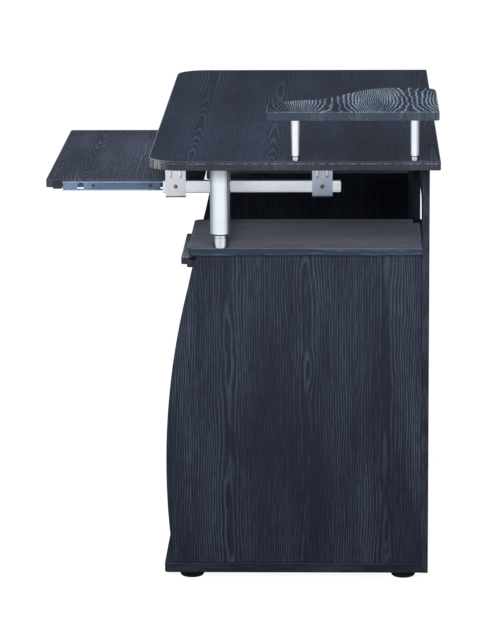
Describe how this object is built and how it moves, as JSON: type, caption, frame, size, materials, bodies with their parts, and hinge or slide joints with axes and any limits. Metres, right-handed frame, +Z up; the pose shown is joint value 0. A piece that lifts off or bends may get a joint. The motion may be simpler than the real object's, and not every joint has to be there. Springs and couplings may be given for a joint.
{
  "type": "computer desk with keyboard tray",
  "caption": "Two-pedestal computer desk with a pull-out keyboard tray on ball slides, a pull-out board and a raised shelf on posts.",
  "frame": {"origin": "on the floor, midway across the desk's width and midway between the drawn-out keyboard tray's front edge and the desktop's rear edge", "axes": "+X to the desk's right end as its user sits, +Y to its back, +Z up"},
  "size_m": [1.16, 0.742, 0.89],
  "materials": {
    "black_ash": "satin woodgrain laminate",
    "shelf_ash": "satin woodgrain laminate with a pale grain",
    "satin_silver": "satin silver",
    "zinc_steel": "zinc-plated",
    "black_plastic": "moulded",
    "brass": "satin"
  },
  "bodies": {
    "desk": {"board_inner_slide_outer": "satin_silver", "board_outer_slide_outer": "satin_silver", "desktop": "black_ash", "elevated_shelf": "shelf_ash", "left_back_panel": "black_ash", "left_base": "black_ash", "left_desk_post": "satin_silver", "left_desk_post_collar": "satin_silver", "left_front_bracket": "satin_silver", "left_front_bracket_screw": "brass", "left_inner_front_foot": "black_plastic", "left_inner_rear_foot": "black_plastic", "left_inner_side": "black_ash", "left_outer_front_foot": "black_plastic", "left_outer_rear_foot": "black_plastic", "left_outer_side": "black_ash", "left_pedestal_shelf": "black_ash", "left_pedestal_top": "black_ash", "left_rear_bracket": "satin_silver", "left_rear_bracket_screw": "brass", "left_tray_slide_outer": "satin_silver", "modesty_panel": "black_ash", "right_back_panel": "black_ash", "right_base": "black_ash", "right_desk_post": "satin_silver", "right_desk_post_collar": "satin_silver", "right_front_bracket": "satin_silver", "right_front_bracket_screw": "brass", "right_inner_front_foot": "black_plastic", "right_inner_rear_foot": "black_plastic", "right_inner_side": "black_ash", "right_outer_front_foot": "black_plastic", "right_outer_rear_foot": "black_plastic", "right_outer_side": "black_ash", "right_pedestal_top": "black_ash", "right_rear_bracket": "satin_silver", "right_rear_bracket_screw": "brass", "right_tray_slide_outer": "satin_silver", "shelf_front_post": "satin_silver", "shelf_front_post_collar": "satin_silver", "shelf_inner_post": "satin_silver", "shelf_inner_post_collar": "satin_silver", "shelf_rear_post": "satin_silver", "shelf_rear_post_collar": "satin_silver"},
    "tray": {"keyboard_tray": "black_ash", "left_tray_bumper": "black_plastic", "left_tray_slide_inner": "zinc_steel", "right_tray_bumper": "black_plastic", "right_tray_slide_inner": "zinc_steel"},
    "tray_ball_cages": {"left_tray_slide_cage": "zinc_steel", "right_tray_slide_cage": "zinc_steel"},
    "board": {"board_inner_bumper": "black_plastic", "board_inner_slide_inner": "zinc_steel", "board_outer_bumper": "black_plastic", "board_outer_slide_inner": "zinc_steel", "pull_out_board": "black_ash"},
    "board_ball_cages": {"board_inner_slide_cage": "zinc_steel", "board_outer_slide_cage": "zinc_steel"}
  },
  "joints": [
    {"name": "tray_travel", "type": "slide", "parent": "desk", "child": "tray", "axis": [0, 1, 0], "range_m": [0, 0.19]},
    {"name": "tray_cage_travel", "type": "slide", "parent": "desk", "child": "tray_ball_cages", "axis": [0, 1, 0], "range_m": [0, 0.095]},
    {"name": "board_travel", "type": "slide", "parent": "desk", "child": "board", "axis": [0, -1, 0], "range_m": [0, 0.21]},
    {"name": "board_cage_travel", "type": "slide", "parent": "desk", "child": "board_ball_cages", "axis": [0, -1, 0], "range_m": [0, 0.105]}
  ],
  "couplings": [
    {"joint": "tray_cage_travel", "follows": "tray_travel", "ratio": 0.5},
    {"joint": "board_cage_travel", "follows": "board_travel", "ratio": 0.5}
  ]
}
